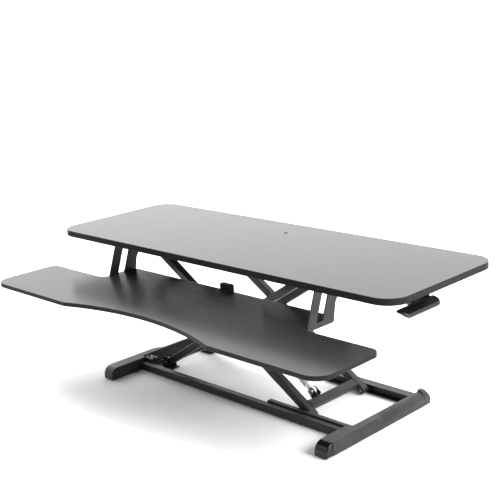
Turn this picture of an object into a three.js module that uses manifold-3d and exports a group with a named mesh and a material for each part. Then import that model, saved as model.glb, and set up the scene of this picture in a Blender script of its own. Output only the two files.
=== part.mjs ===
// A desktop sit-stand converter: a work surface with a keyboard tray on a scissor lift.
// Millimetres, +Z up, +X to the user's right, +Y away from the user, standing on Z = 0.

import * as THREE from 'three';
import { mergeVertices } from 'three/addons/utils/BufferGeometryUtils.js';
import Module from 'manifold-3d';

const wasm = await Module();
wasm.setup();

const radians = THREE.MathUtils.degToRad;

// Clearances
const touch = 0.3;
const boreClearance = 0.4;
const overcut = 5;

// Work surface
const desk = { width: 1067, depth: 365, thick: 15, front: -165, top: 367.4, corner: 50 };
const deskUnder = desk.top - desk.thick;
const mountHole = { radius: 5, y: 120 };

// Keyboard tray
const tray = {
  halfWidth: 526, front: -374, wingBack: -194, back: -92, centreHalf: 320.5,
  top: 278.7, thick: 10, recessHalf: 237, recessDepth: 43,
  frontCorner: 40, backCorner: 22, innerFillet: 24, tongueCorner: 8,
};
const trayUnder = tray.top - tray.thick;
const trayStop = { half: 18, deep: 12, rise: 12.8, corner: 3 };

// Side plates between the work surface and the tray. Leans are in mm back per mm up.
const trayBracket = {
  thick: 3, gap: 1.5, flange: 28, lap: 2, frontAtTop: -148, lean: 0.36, toeRise: 7, toeBack: -161,
  back: -93, backLean: 0.18, flareFrom: 307, flareLean: 0.67, flangeBack: -72,
  strip: 27, slot: 19.5, slotBelowTop: 12,
};

// Scissor lift
const lift = { pivotX: -295, lowerZ: 13, upperZ: 339, angle: radians(32.5) };
lift.span = (lift.upperZ - lift.lowerZ) / Math.sin(lift.angle);
const arm = { high: 18, wide: 19, wall: 1.6 };
const frontOuterArm = -59;
const frontInnerArm = frontOuterArm + arm.wide + 2;
const rearOuterArm = 122;
const rearInnerArm = rearOuterArm - arm.wide - 2;
const innerArmFace = frontInnerArm + arm.wide;
const outerArmFace = frontOuterArm + arm.wide;
const crossbar = {
  high: 18, deep: 14, lowerDeep: 20, wall: 1.5, outerFromPivot: 46, outerFromRoller: 23, innerFromEnd: 60,
};

// Base
const foot = {
  outer: 370.7, inner: 336.4, narrow: 349.4, half: 184, bottom: 2, top: 31.7,
  wall: 1.8, cap: 22, capRound: 21, jogStart: -78, jogEnd: -69, slopeStart: -14, slopeFoot: 14,
  ridge: 2, rearCapRise: 4.5, rearCapRound: 13,
};
const rail = { deep: 18, bottom: 2, top: 20, wall: 1.5, front: -89.5 };
const rearRail = { front: 154, bottom: 3, top: 21.5 };
const track = { deep: 11.7, bottom: 2, top: 24, wall: 1.5, left: 84, slant: 14, right: 345.6 };
const upperTrack = { left: 76, right: 330 };
const pad = { thick: 1.7, long: 16, corner: 3 };
const shoulderSegments = 8;

// Round parts
const roller = { radius: 9, wide: 8, bevel: 0.8, fromOuterArm: 2, fromInnerArm: 1.5 };
const pin = { radius: 4, headRadius: 7.5, headThick: 3 };
const roundSegments = 18;

// Folded brackets: a plate with an ear on each side of an arm
const bracketPlate = 2.5;
const earRadius = 11;
const earClearance = 0.8;
const pinReach = earClearance + bracketPlate + touch;
const lowerBracket = {
  left: 50, right: 24, earFoot: 14, earTop: 32, lap: 5, plate: 1.5,
  shelfRight: 18, shelfTop: 29, shelfDeep: 22, shelfWall: 2,
};
const upperBracket = { left: 26, right: 30, earFoot: 18, plate: 2 };

// Gas spring
const spring = {
  y: -3, radius: 10, eyeRadius: 9, eyeThick: 8, rodRadius: 4, neck: 20, bodyLength: 158,
  fromRoller: 50, above: 6, fromCentre: 35, rodLength: 150, collar: 3, neckRadius: 4.6,
  socket: 14, boreDepth: 6, lowerEar: 9, upperEar: 10,
};
const clevisGap = spring.eyeThick / 2 + 1;

// Release paddle
const paddle = {
  hingeX: 508, hingeZ: 338.5, tip: 545, front: -136, back: -16, root: 7, drop: 7, thick: 8,
  nearCorner: 10, farCorner: 20, barrel: 5.5, hubFront: 58, hubBack: 10, pinRadius: 2.5, pinOut: 1.5,
  earRadius: 7, earGap: 1, plate: 2, plateLeft: 34, plateRight: 10, clear: 9,
};

const finishes = {
  laminate: { color: 0x2b2b2d, roughness: 0.55, metalness: 0 },
  steel: { color: 0x1f2022, roughness: 0.5, metalness: 0.4 },
  plastic: { color: 0x111112, roughness: 0.35, metalness: 0 },
  rubber: { color: 0x17171a, roughness: 0.9, metalness: 0 },
  nylon: { color: 0x0f0f10, roughness: 0.5, metalness: 0 },
  chrome: { color: 0xc9ccd0, roughness: 0.2, metalness: 1 },
  zinc: { color: 0x9a9da1, roughness: 0.35, metalness: 1 },
};

const converter = new THREE.Group();

function addMesh(parent, name, geometry, finish) {
  const mesh = new THREE.Mesh(geometry, new THREE.MeshStandardMaterial(finishes[finish]));
  mesh.name = name;
  parent.add(mesh);
  return mesh;
}

// Solids and booleans

function toManifold(geometry) {
  const bare = geometry.clone();
  bare.deleteAttribute('normal');
  bare.deleteAttribute('uv');
  const merged = mergeVertices(bare, 1e-4);
  return new wasm.Manifold(new wasm.Mesh({
    numProp: 3,
    vertProperties: new Float32Array(merged.attributes.position.array),
    triVerts: new Uint32Array(merged.index.array),
  }));
}

function toGeometry(solid) {
  const result = solid.getMesh();
  const geometry = new THREE.BufferGeometry();
  geometry.setAttribute('position', new THREE.BufferAttribute(result.vertProperties, 3));
  geometry.setIndex(new THREE.BufferAttribute(result.triVerts, 1));
  geometry.computeVertexNormals();
  return geometry;
}

function cut(body, ...tools) {
  return toGeometry(tools.reduce((solid, tool) => solid.subtract(toManifold(tool)), toManifold(body)));
}

function join(body, ...others) {
  return toGeometry(others.reduce((solid, other) => solid.add(toManifold(other)), toManifold(body)));
}

function intersect(body, other) {
  return toGeometry(toManifold(body).intersect(toManifold(other)));
}

function polygon(points) {
  return new THREE.Shape(points.map(([u, v]) => new THREE.Vector2(u, v)));
}

function rectangle(u0, u1, v0, v1) {
  return polygon([[u0, v0], [u1, v0], [u1, v1], [u0, v1]]);
}

function roundedRectangle(u0, u1, v0, v1, radius) {
  const shape = new THREE.Shape();
  shape.absarc(u1 - radius, v0 + radius, radius, -Math.PI / 2, 0);
  shape.absarc(u1 - radius, v1 - radius, radius, 0, Math.PI / 2);
  shape.absarc(u0 + radius, v1 - radius, radius, Math.PI / 2, Math.PI);
  shape.absarc(u0 + radius, v0 + radius, radius, Math.PI, Math.PI * 1.5);
  return shape;
}

function extrude(shape, length, curveSegments = 4) {
  return new THREE.ExtrudeGeometry(shape, { depth: length, bevelEnabled: false, curveSegments });
}

// A shape drawn in (X, Z), filling y0 to y1.
function extrudeY(shape, y0, y1, curveSegments) {
  const turn = new THREE.Matrix4().makeBasis(
    new THREE.Vector3(1, 0, 0), new THREE.Vector3(0, 0, 1), new THREE.Vector3(0, -1, 0));
  return extrude(shape, y1 - y0, curveSegments).applyMatrix4(turn).translate(0, y1, 0);
}

// A shape drawn in (Y, Z), filling x0 to x1.
function extrudeX(shape, x0, x1, curveSegments) {
  const turn = new THREE.Matrix4().makeBasis(
    new THREE.Vector3(0, 1, 0), new THREE.Vector3(0, 0, 1), new THREE.Vector3(1, 0, 0));
  return extrude(shape, x1 - x0, curveSegments).applyMatrix4(turn).translate(x0, 0, 0);
}

// A shape drawn in (X, Y), filling z0 to z1.
function extrudeZ(shape, z0, z1, curveSegments) {
  return extrude(shape, z1 - z0, curveSegments).translate(0, 0, z0);
}

function box(x0, x1, y0, y1, z0, z1) {
  return extrudeZ(rectangle(x0, x1, y0, y1), z0, z1);
}

// A round bar along Y.
function bar(x, z, radius, y0, y1) {
  return new THREE.CylinderGeometry(radius, radius, y1 - y0, roundSegments).translate(x, (y0 + y1) / 2, z);
}

// A headed pin along Y, with its shank from y0 to y1 and a head outside each end.
function headedPin(x, z, y0, y1) {
  const { radius, headRadius, headThick } = pin;
  return join(
    bar(x, z, radius, y0 - headThick, y1 + headThick),
    bar(x, z, headRadius, y0 - headThick, y0),
    bar(x, z, headRadius, y1, y1 + headThick));
}

// Base: two feet, two rails, tracks and pivot brackets

function footPlan(inset) {
  const { outer, inner, narrow, half, cap, jogStart, jogEnd } = foot;
  const front = -half + cap + touch;
  const back = half - cap - touch;
  const reach = inset > 0 ? overcut : 0;
  return polygon([
    [inner + inset, front - reach], [outer - inset, front - reach],
    [outer - inset, back + reach], [narrow + inset, back + reach],
    [narrow + inset, jogEnd + inset / 2], [inner + inset, jogStart + inset / 2],
  ]);
}

// What the rounded outer shoulder leaves out of a section in (x, z), from the ridge down to its foot.
function shoulderWaste(top, offset) {
  const { outer, narrow, slopeFoot } = foot;
  const ridge = narrow + foot.ridge - offset;
  const waste = new THREE.Shape();
  waste.moveTo(ridge, top + overcut);
  waste.lineTo(ridge, top - offset);
  waste.absellipse(
    ridge, slopeFoot, outer - offset - ridge, top - offset - slopeFoot, Math.PI / 2, 0, true, 0);
  waste.lineTo(outer + overcut, slopeFoot);
  waste.lineTo(outer + overcut, top + overcut);
  return waste;
}

// The outer side of the rear half rounds over, from a ridge at the inner top edge down to the floor.
function footSlopeTool(offset) {
  const { outer, narrow, half, top, slopeStart } = foot;
  const ridge = narrow + foot.ridge - offset;
  const slope = extrudeY(shoulderWaste(top, offset), slopeStart, half + overcut, shoulderSegments);
  const start = slopeStart + offset;
  const run = outer - ridge;
  const plan = polygon([
    [ridge - overcut, start + run + overcut], [outer + overcut, start - overcut],
    [outer + overcut, half + 2 * overcut], [ridge - overcut, half + 2 * overcut],
  ]);
  return intersect(slope, extrudeZ(plan, -overcut, top + 2 * overcut));
}

function footGeometry() {
  const { bottom, top, wall } = foot;
  const shell = cut(extrudeZ(footPlan(0), bottom, top), footSlopeTool(0));
  const hollow = cut(extrudeZ(footPlan(wall), bottom - overcut, top - wall), footSlopeTool(wall));
  return cut(shell, hollow);
}

function footEndProfile(top, round) {
  const { half, cap, bottom } = foot;
  const profile = new THREE.Shape();
  profile.moveTo(-half + cap, bottom);
  profile.lineTo(-half + cap, top);
  profile.absarc(-half + round, top - round, round, Math.PI / 2, Math.PI);
  profile.lineTo(-half, bottom);
  return profile;
}

function frontCapGeometry() {
  return extrudeX(footEndProfile(foot.top, foot.capRound), foot.inner, foot.outer);
}

// The rear cap stands proud of the foot's top.
function rearCapGeometry() {
  const { half, cap, narrow, outer } = foot;
  const top = foot.top + foot.rearCapRise;
  const rounded = extrudeX(footEndProfile(top, foot.rearCapRound), narrow, outer).rotateZ(Math.PI)
    .translate(narrow + outer, 0, 0);
  const waste = extrudeY(shoulderWaste(top, 0), half - cap - overcut, half + overcut, shoulderSegments);
  return cut(rounded, waste);
}

function padGeometry(x0, x1, yMiddle) {
  return extrudeZ(
    roundedRectangle(x0, x1, yMiddle - pad.long / 2, yMiddle + pad.long / 2, pad.corner), 0, pad.thick, 3);
}

// The mirror image across the YZ plane, with each triangle's order turned to face out again.
function mirroredX(geometry) {
  const image = geometry.index ? geometry.toNonIndexed() : geometry.clone();
  image.deleteAttribute('uv');
  image.deleteAttribute('normal');
  image.scale(-1, 1, 1);
  const corners = image.attributes.position;
  const order = [];
  for (let corner = 0; corner < corners.count; corner += 3) {
    order.push(corner, corner + 2, corner + 1);
  }
  image.setIndex(order);
  return mergeVertices(image, 1e-4);
}

function addFoot(side) {
  const turnOver = side === 'right' ? (geometry) => geometry : mirroredX;
  const padY = foot.half - foot.cap / 2 - 1;
  addMesh(converter, `foot_${side}`, turnOver(footGeometry()), 'steel');
  addMesh(converter, `foot_cap_${side}_front`, turnOver(frontCapGeometry()), 'plastic');
  addMesh(converter, `foot_cap_${side}_rear`, turnOver(rearCapGeometry()), 'plastic');
  const frontPad = padGeometry(foot.inner + 4, foot.outer - 4, -padY);
  const rearPad = padGeometry(foot.narrow + 2, foot.outer - 3, padY);
  addMesh(converter, `foot_pad_${side}_front`, turnOver(frontPad), 'rubber');
  addMesh(converter, `foot_pad_${side}_rear`, turnOver(rearPad), 'rubber');
}

function tubeAlongX(x0, x1, y0, y1, z0, z1, wall) {
  const section = rectangle(y0, y1, z0, z1);
  section.holes.push(new THREE.Path(
    rectangle(y0 + wall, y1 - wall, z0 + wall, z1 - wall).getPoints().reverse()));
  return extrudeX(section, x0, x1);
}

// A channel along X, open towards `open` (+1 is +Y) from the plane of its web.
function channelShape(web, open, deep, z0, z1, wall) {
  return polygon([
    [web, z0], [web + open * deep, z0], [web + open * deep, z0 + wall], [web + open * wall, z0 + wall],
    [web + open * wall, z1 - wall], [web + open * deep, z1 - wall], [web + open * deep, z1], [web, z1],
  ]);
}

function lowerTrack(web, open, right) {
  const { deep, bottom, top, wall, left, slant } = track;
  const channel = extrudeX(channelShape(web, open, deep, bottom, top, wall), left, right);
  const y0 = Math.min(web, web + open * deep) - overcut;
  const slantedEnd = polygon([
    [left - overcut, bottom - 1], [left, bottom - 1], [left + slant, top + 1], [left - overcut, top + 1]]);
  return cut(channel, extrudeY(slantedEnd, y0, y0 + deep + 2 * overcut));
}

function pivotBore(z, armFront) {
  return bar(
    lift.pivotX, z, pin.radius + boreClearance, armFront - overcut, armFront + arm.wide + overcut);
}

function pivotPin(z, armFront) {
  return headedPin(lift.pivotX, z, armFront - pinReach, armFront + arm.wide + pinReach);
}

// A folded shelf against the rail, from the foot to the ears; `open` (+1 is +Y) is the way it faces.
function lowerPivotShelf(web, open) {
  const { left, shelfRight, shelfTop, shelfDeep, shelfWall } = lowerBracket;
  const section = polygon([
    [web, foot.bottom], [web + open * shelfWall, foot.bottom],
    [web + open * shelfWall, shelfTop - shelfWall], [web + open * shelfDeep, shelfTop - shelfWall],
    [web + open * shelfDeep, shelfTop], [web, shelfTop],
  ]);
  return extrudeX(section, lift.pivotX - left, lift.pivotX - shelfRight);
}

function lowerPivotBracket(armFront, plateFront, plateBack, shelf) {
  const { pivotX, lowerZ } = lift;
  const { left, right, earFoot, earTop, plate } = lowerBracket;
  const bottom = pad.thick - 0.2;
  const base = box(pivotX - left, pivotX + right, plateFront, plateBack, bottom, bottom + plate);
  const ears = [armFront - earClearance - bracketPlate, armFront + arm.wide + earClearance].map((y) => {
    const ear = new THREE.Shape();
    ear.moveTo(pivotX - earFoot, foot.bottom);
    ear.lineTo(pivotX + earFoot, foot.bottom);
    ear.lineTo(pivotX + earRadius, earTop - earRadius);
    ear.absarc(pivotX, earTop - earRadius, earRadius, 0, Math.PI);
    return extrudeY(ear, y, y + bracketPlate);
  });
  return cut(join(base, shelf, ...ears), pivotBore(lowerZ, armFront));
}

function addBase() {
  addFoot('left');
  addFoot('right');
  const railEnd = foot.inner - touch;
  const rearEnd = foot.narrow - touch;
  const frontBack = rail.front + rail.deep;
  addMesh(converter, 'front_rail', tubeAlongX(
    -railEnd, railEnd, rail.front, frontBack, rail.bottom, rail.top, rail.wall), 'steel');
  addMesh(converter, 'rear_rail', tubeAlongX(
    -rearEnd, rearEnd, rearRail.front, rearRail.front + rail.deep,
    rearRail.bottom, rearRail.top, rail.wall), 'steel');
  addMesh(converter, 'lower_track_front', lowerTrack(frontBack + touch, 1, track.right), 'steel');
  addMesh(converter, 'lower_track_rear', lowerTrack(rearRail.front - touch, -1, rearEnd), 'steel');
  const frontWeb = frontBack + touch;
  const rearWeb = rearRail.front - touch;
  addMesh(converter, 'lower_pivot_bracket_front', lowerPivotBracket(
    frontInnerArm, frontWeb, innerArmFace + lowerBracket.lap, lowerPivotShelf(frontWeb, 1)), 'steel');
  addMesh(converter, 'lower_pivot_bracket_rear', lowerPivotBracket(
    rearInnerArm, rearInnerArm - lowerBracket.lap, rearWeb, lowerPivotShelf(rearWeb, -1)), 'steel');
  addMesh(converter, 'lower_pivot_pin_front', pivotPin(lift.lowerZ, frontInnerArm), 'zinc');
  addMesh(converter, 'lower_pivot_pin_rear', pivotPin(lift.lowerZ, rearInnerArm), 'zinc');
}

// Arms lie along X in their own frame, from the pivot at 0 to the roller at the span.

function armGeometry(yFront) {
  const half = arm.high / 2;
  const outline = new THREE.Shape();
  outline.absarc(lift.span, 0, half, -Math.PI / 2, Math.PI / 2);
  outline.absarc(0, 0, half, Math.PI / 2, Math.PI * 1.5);
  const solid = extrudeY(outline, yFront, yFront + arm.wide);
  const inside = box(
    -arm.high, lift.span + arm.high, yFront + arm.wall, yFront + arm.wide - arm.wall,
    -half + arm.wall, half - arm.wall);
  const bores = [0, lift.span / 2, lift.span].map(
    (x) => bar(x, 0, pin.radius + boreClearance, yFront - overcut, yFront + arm.wide + overcut));
  return cut(solid, inside, ...bores);
}

function crossbarGeometry(x, yFront, yBack, deep = crossbar.deep) {
  const { high, wall } = crossbar;
  const section = rectangle(x - deep / 2, x + deep / 2, -high / 2, high / 2);
  section.holes.push(new THREE.Path(rectangle(
    x - deep / 2 + wall, x + deep / 2 - wall, -high / 2 + wall, high / 2 - wall)
    .getPoints().reverse()));
  return extrudeY(section, yFront + touch, yBack - touch);
}

// A roller with a stepped hub on a fixed axle.
function rollerGeometry(x, z, yFront) {
  const { radius, wide, bevel } = roller;
  const bore = pin.radius + boreClearance;
  const profile = [
    [bore, 0], [radius - bevel, 0], [radius, bevel], [radius, wide - bevel],
    [radius - bevel, wide], [bore, wide], [bore, 0],
  ].map(([r, y]) => new THREE.Vector2(r, y));
  return new THREE.LatheGeometry(profile, roundSegments).translate(x, yFront, z);
}

function addInnerFrame() {
  const frame = new THREE.Group();
  frame.position.set(lift.pivotX, 0, lift.lowerZ);
  frame.rotation.y = -lift.angle;
  converter.add(frame);
  const { span } = lift;
  addMesh(frame, 'inner_arm_front', armGeometry(frontInnerArm), 'steel');
  addMesh(frame, 'inner_arm_rear', armGeometry(rearInnerArm), 'steel');
  const springBarX = span / 2 - spring.fromCentre;
  const { innerFromEnd } = crossbar;
  [['lower', innerFromEnd], ['middle', springBarX], ['upper', span - innerFromEnd]].forEach(([place, x]) => {
    addMesh(frame, `inner_crossbar_${place}`, crossbarGeometry(x, innerArmFace, rearInnerArm), 'steel');
  });
  addMesh(frame, 'spring_upper_bracket', springUpperBracket(springBarX), 'steel');
  const boltReach = 0.6;
  addMesh(frame, 'centre_pivot_bolt_front',
    headedPin(span / 2, 0, frontOuterArm - boltReach, innerArmFace + boltReach), 'zinc');
  addMesh(frame, 'centre_pivot_bolt_rear',
    headedPin(span / 2, 0, rearInnerArm - boltReach, rearOuterArm + arm.wide + boltReach), 'zinc');
  const frontRoller = frontInnerArm - roller.wide - roller.fromInnerArm;
  const rearRoller = rearInnerArm + arm.wide + roller.fromInnerArm;
  addMesh(frame, 'upper_roller_axle_front', bar(
    span, 0, pin.radius, frontRoller, innerArmFace + 2), 'zinc');
  addMesh(frame, 'upper_roller_axle_rear', bar(
    span, 0, pin.radius, rearInnerArm - 2, rearRoller + roller.wide), 'zinc');
  addMesh(frame, 'upper_roller_front', rollerGeometry(span, 0, frontRoller), 'nylon');
  addMesh(frame, 'upper_roller_rear', rollerGeometry(span, 0, rearRoller), 'nylon');
}

function addOuterFrame() {
  const frame = new THREE.Group();
  frame.position.set(lift.pivotX, 0, lift.upperZ);
  frame.rotation.y = lift.angle;
  converter.add(frame);
  const { span } = lift;
  addMesh(frame, 'outer_arm_front', armGeometry(frontOuterArm), 'steel');
  addMesh(frame, 'outer_arm_rear', armGeometry(rearOuterArm), 'steel');
  const lowerBarX = span - crossbar.outerFromRoller;
  const bars = [
    ['upper', crossbar.outerFromPivot, crossbar.deep], ['lower', lowerBarX, crossbar.lowerDeep],
  ];
  bars.forEach(([place, x, deep]) => {
    const tube = crossbarGeometry(x, outerArmFace, rearOuterArm, deep);
    addMesh(frame, `outer_crossbar_${place}`, tube, 'steel');
  });
  addMesh(frame, 'spring_lower_bracket', springLowerBracket(lowerBarX), 'steel');
  const reach = clevisGap + bracketPlate + touch;
  addMesh(frame, 'spring_lower_pin', headedPin(
    span - spring.fromRoller, spring.above, spring.y - reach, spring.y + reach), 'zinc');
  const frontRoller = frontOuterArm - roller.wide - roller.fromOuterArm;
  const rearRoller = rearOuterArm + arm.wide + roller.fromOuterArm;
  addMesh(frame, 'lower_roller_axle_front', bar(
    span, 0, pin.radius, frontRoller, outerArmFace + 1), 'zinc');
  addMesh(frame, 'lower_roller_axle_rear', bar(
    span, 0, pin.radius, rearOuterArm - 1, rearRoller + roller.wide), 'zinc');
  addMesh(frame, 'lower_roller_front', rollerGeometry(span, 0, frontRoller), 'nylon');
  addMesh(frame, 'lower_roller_rear', rollerGeometry(span, 0, rearRoller), 'nylon');
}

// Gas spring, with its clevis brackets

// Two ears bored at (x, z), joined by a back plate.
function clevis(outline, x, z, back) {
  const reach = clevisGap + bracketPlate + overcut;
  const bore = bar(x, z, pin.radius + boreClearance, spring.y - reach, spring.y + reach);
  const ears = [spring.y - clevisGap - bracketPlate, spring.y + clevisGap].map(
    (y) => cut(extrudeY(outline, y, y + bracketPlate), bore));
  return join(back, ...ears);
}

function clevisBack(x0, x1, z0, z1) {
  const half = clevisGap + bracketPlate;
  return box(x0, x1, spring.y - half, spring.y + half, z0, z1);
}

// On the outer frame's lower crossbar, reaching up the arms to the cylinder's eye.
function springLowerBracket(barX) {
  const { above, lowerEar } = spring;
  const eyeX = lift.span - spring.fromRoller;
  const barFace = barX - crossbar.lowerDeep / 2 - touch;
  const bottom = -crossbar.high / 2;
  const outline = new THREE.Shape();
  outline.moveTo(barFace, bottom);
  outline.lineTo(barFace, above + lowerEar);
  outline.lineTo(eyeX, above + lowerEar);
  outline.absarc(eyeX, above, lowerEar, Math.PI / 2, Math.PI * 1.5);
  return clevis(outline, eyeX, above, clevisBack(barFace - bracketPlate, barFace, bottom, crossbar.high / 2));
}

// On the inner frame's middle crossbar, reaching past the centre pivot to the rod's eye. The eye
// runs free between the ears.
function springUpperBracket(barX) {
  const { upperEar } = spring;
  const eyeX = lift.span / 2 + spring.fromCentre;
  const barFace = barX + crossbar.deep / 2 + touch;
  const outline = new THREE.Shape();
  outline.moveTo(barFace, -upperEar);
  outline.lineTo(eyeX, -upperEar);
  outline.absarc(eyeX, 0, upperEar, -Math.PI / 2, Math.PI / 2);
  outline.lineTo(barFace, upperEar);
  return clevis(outline, eyeX, 0, clevisBack(barFace, barFace + bracketPlate, -upperEar, upperEar));
}

function armPoint(originZ, turn, along, above) {
  return new THREE.Vector3(
    lift.pivotX + along * Math.cos(turn) - above * Math.sin(turn), 0,
    originZ + along * Math.sin(turn) + above * Math.cos(turn));
}

// Spring parts lie along X, with the cylinder's eye at 0.

function cylinderGeometry() {
  const { radius, eyeRadius, eyeThick, rodRadius, neck, bodyLength, collar, neckRadius, boreDepth } = spring;
  const bodyEnd = neck + bodyLength;
  const bore = rodRadius + boreClearance;
  const start = eyeRadius - 2;
  const profile = [
    [0, start], [neckRadius, start], [neckRadius, neck], [radius - 1, neck], [radius, neck + 1],
    [radius, bodyEnd - collar], [radius - 2, bodyEnd], [bore, bodyEnd],
    [bore, neck + boreDepth], [0, neck + boreDepth],
  ].map(([r, x]) => new THREE.Vector2(r, x));
  const body = new THREE.LatheGeometry(profile, roundSegments).rotateZ(-Math.PI / 2);
  const eye = bar(0, 0, eyeRadius, -eyeThick / 2, eyeThick / 2);
  return cut(join(body, eye), bar(0, 0, pin.radius + boreClearance, -eyeThick, eyeThick));
}

function rodGeometry(radius, x0, x1) {
  return new THREE.CylinderGeometry(radius, radius, x1 - x0, roundSegments)
    .rotateZ(-Math.PI / 2).translate((x0 + x1) / 2, 0, 0);
}

function rodEndGeometry(length, rodTip) {
  const { eyeRadius, eyeThick, neckRadius, socket } = spring;
  const sleeve = rodGeometry(neckRadius, rodTip + touch, rodTip + touch + socket);
  const eye = bar(length, 0, eyeRadius, -eyeThick / 2, eyeThick / 2);
  return cut(join(sleeve, eye), bar(length, 0, pin.radius + boreClearance, -eyeThick, eyeThick));
}

function addGasSpring() {
  const { span, angle, lowerZ, upperZ } = lift;
  const lowerEye = armPoint(upperZ, -angle, span - spring.fromRoller, spring.above);
  const upperEye = armPoint(lowerZ, angle, span / 2 + spring.fromCentre, 0);
  const length = lowerEye.distanceTo(upperEye);
  const rodTip = length - spring.eyeRadius - spring.boreDepth;
  const frame = new THREE.Group();
  frame.position.set(lowerEye.x, spring.y, lowerEye.z);
  frame.rotation.y = -Math.atan2(upperEye.z - lowerEye.z, upperEye.x - lowerEye.x);
  converter.add(frame);
  addMesh(frame, 'gas_spring_cylinder', cylinderGeometry(), 'steel');
  const rod = rodGeometry(spring.rodRadius, rodTip - spring.rodLength, rodTip);
  addMesh(frame, 'gas_spring_rod', rod, 'chrome');
  addMesh(frame, 'gas_spring_rod_end', rodEndGeometry(length, rodTip), 'zinc');
}

// Work surface and what hangs from it

function upperPivotBracket(armFront) {
  const { pivotX, upperZ } = lift;
  const { left, right, earFoot, plate } = upperBracket;
  const top = deskUnder - touch;
  const yFront = armFront - earClearance - bracketPlate;
  const yBack = armFront + arm.wide + earClearance;
  const base = box(pivotX - left, pivotX + right, yFront, yBack + bracketPlate, top - plate, top);
  const ears = [yFront, yBack].map((y) => {
    const ear = new THREE.Shape();
    ear.moveTo(pivotX + earFoot, top - plate / 2);
    ear.lineTo(pivotX - earFoot, top - plate / 2);
    ear.lineTo(pivotX - earRadius, upperZ);
    ear.absarc(pivotX, upperZ, earRadius, Math.PI, Math.PI * 2);
    return extrudeY(ear, y, y + bracketPlate);
  });
  return cut(join(base, ...ears), pivotBore(upperZ, armFront));
}

function addDesktop() {
  const { width, depth, front, top, corner } = desk;
  const outline = roundedRectangle(-width / 2, width / 2, front, front + depth, corner);
  const board = extrudeZ(outline, deskUnder, top, 7);
  const hole = new THREE.CylinderGeometry(mountHole.radius, mountHole.radius, 4 * desk.thick, roundSegments)
    .rotateX(Math.PI / 2).translate(0, mountHole.y, top);
  addMesh(converter, 'desktop', cut(board, hole), 'laminate');
  [['front', frontOuterArm], ['rear', rearOuterArm]].forEach(([place, armFront]) => {
    addMesh(converter, `upper_pivot_bracket_${place}`, upperPivotBracket(armFront), 'steel');
    addMesh(converter, `upper_pivot_pin_${place}`, pivotPin(lift.upperZ, armFront), 'zinc');
  });
  const trackTop = deskUnder - touch;
  const trackBottom = 2 * lift.upperZ - trackTop;
  const { deep, wall } = track;
  const frontWeb = frontInnerArm - 1 - deep;
  const rearWeb = rearInnerArm + arm.wide + 1 + deep;
  addMesh(converter, 'upper_track_front', extrudeX(
    channelShape(frontWeb, 1, deep, trackBottom, trackTop, wall),
    upperTrack.left, upperTrack.right), 'steel');
  addMesh(converter, 'upper_track_rear', extrudeX(
    channelShape(rearWeb, -1, deep, trackBottom, trackTop, wall),
    upperTrack.left, upperTrack.right), 'steel');
}

function trayOutline() {
  const {
    halfWidth, front, wingBack, back, centreHalf, recessHalf, recessDepth,
    frontCorner, backCorner, innerFillet, tongueCorner,
  } = tray;
  const recessRadius = recessHalf ** 2 / (2 * recessDepth) + recessDepth / 2;
  const recessCentre = front + recessDepth - recessRadius;
  const recessAngle = Math.asin(recessHalf / recessRadius);
  const shape = new THREE.Shape();
  const quarter = Math.PI / 2;
  shape.absarc(0, recessCentre, recessRadius, quarter + recessAngle, quarter - recessAngle, true);
  shape.absarc(halfWidth - frontCorner, front + frontCorner, frontCorner, -quarter, 0);
  shape.absarc(halfWidth - backCorner, wingBack - backCorner, backCorner, 0, quarter);
  shape.absarc(centreHalf + innerFillet, wingBack + innerFillet, innerFillet, -quarter, -2 * quarter, true);
  shape.absarc(centreHalf - tongueCorner, back - tongueCorner, tongueCorner, 0, quarter);
  shape.absarc(-centreHalf + tongueCorner, back - tongueCorner, tongueCorner, quarter, 2 * quarter);
  shape.absarc(-centreHalf - innerFillet, wingBack + innerFillet, innerFillet, 0, -quarter, true);
  shape.absarc(-halfWidth + backCorner, wingBack - backCorner, backCorner, quarter, 2 * quarter);
  shape.absarc(-halfWidth + frontCorner, front + frontCorner, frontCorner, 2 * quarter, 3 * quarter);
  return shape;
}

// A slotted side plate that leans back, with flanges under the work surface and under the tray.
function trayBracketGeometry() {
  const {
    thick, gap, flange, lap, frontAtTop, lean, toeRise, toeBack, back, backLean,
    flareFrom, flareLean, flangeBack, strip, slot, slotBelowTop,
  } = trayBracket;
  const x0 = tray.centreHalf + gap;
  const x1 = x0 + thick;
  const bottom = trayUnder - touch - thick;
  const top = deskUnder - touch;
  const front = (z) => frontAtTop + (z - top) * lean;
  const flareStart = back + (flareFrom - bottom) * backLean;
  const backAtTop = flareStart + (top - flareFrom) * flareLean;
  const toe = bottom + toeRise;
  const outline = polygon([
    [front(toe), toe], [toeBack, bottom], [back, bottom], [flareStart, flareFrom],
    [backAtTop, top], [frontAtTop, top],
  ]);
  const slotFloor = tray.top;
  const slotTop = top - slotBelowTop;
  outline.holes.push(new THREE.Path([
    [front(slotFloor) + strip, slotFloor], [front(slotTop) + strip, slotTop],
    [front(slotTop) + strip + slot, slotTop], [front(slotFloor) + strip + slot, slotFloor],
  ].map(([y, z]) => new THREE.Vector2(y, z))));
  const plate = extrudeX(outline, x0, x1);
  const inner = x0 - flange;
  const lower = box(inner, x1 - lap, toeBack + lap, back - lap, bottom, bottom + thick);
  const upper = box(inner, x1 - lap, frontAtTop + lap, flangeBack, top - thick, top);
  return join(plate, lower, upper);
}

function addTray() {
  addMesh(converter, 'keyboard_tray', extrudeZ(trayOutline(), trayUnder, tray.top, 6), 'laminate');
  const right = trayBracketGeometry();
  addMesh(converter, 'tray_bracket_right', right, 'steel');
  addMesh(converter, 'tray_bracket_left', mirroredX(right), 'steel');
  const { half, deep, rise, corner } = trayStop;
  const face = tray.back + touch;
  addMesh(converter, 'tray_rear_stop', extrudeY(
    roundedRectangle(-half, half, trayUnder, tray.top + rise, corner), face, face + deep), 'plastic');
}

// Release paddle on a small bracket under the right end

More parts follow.
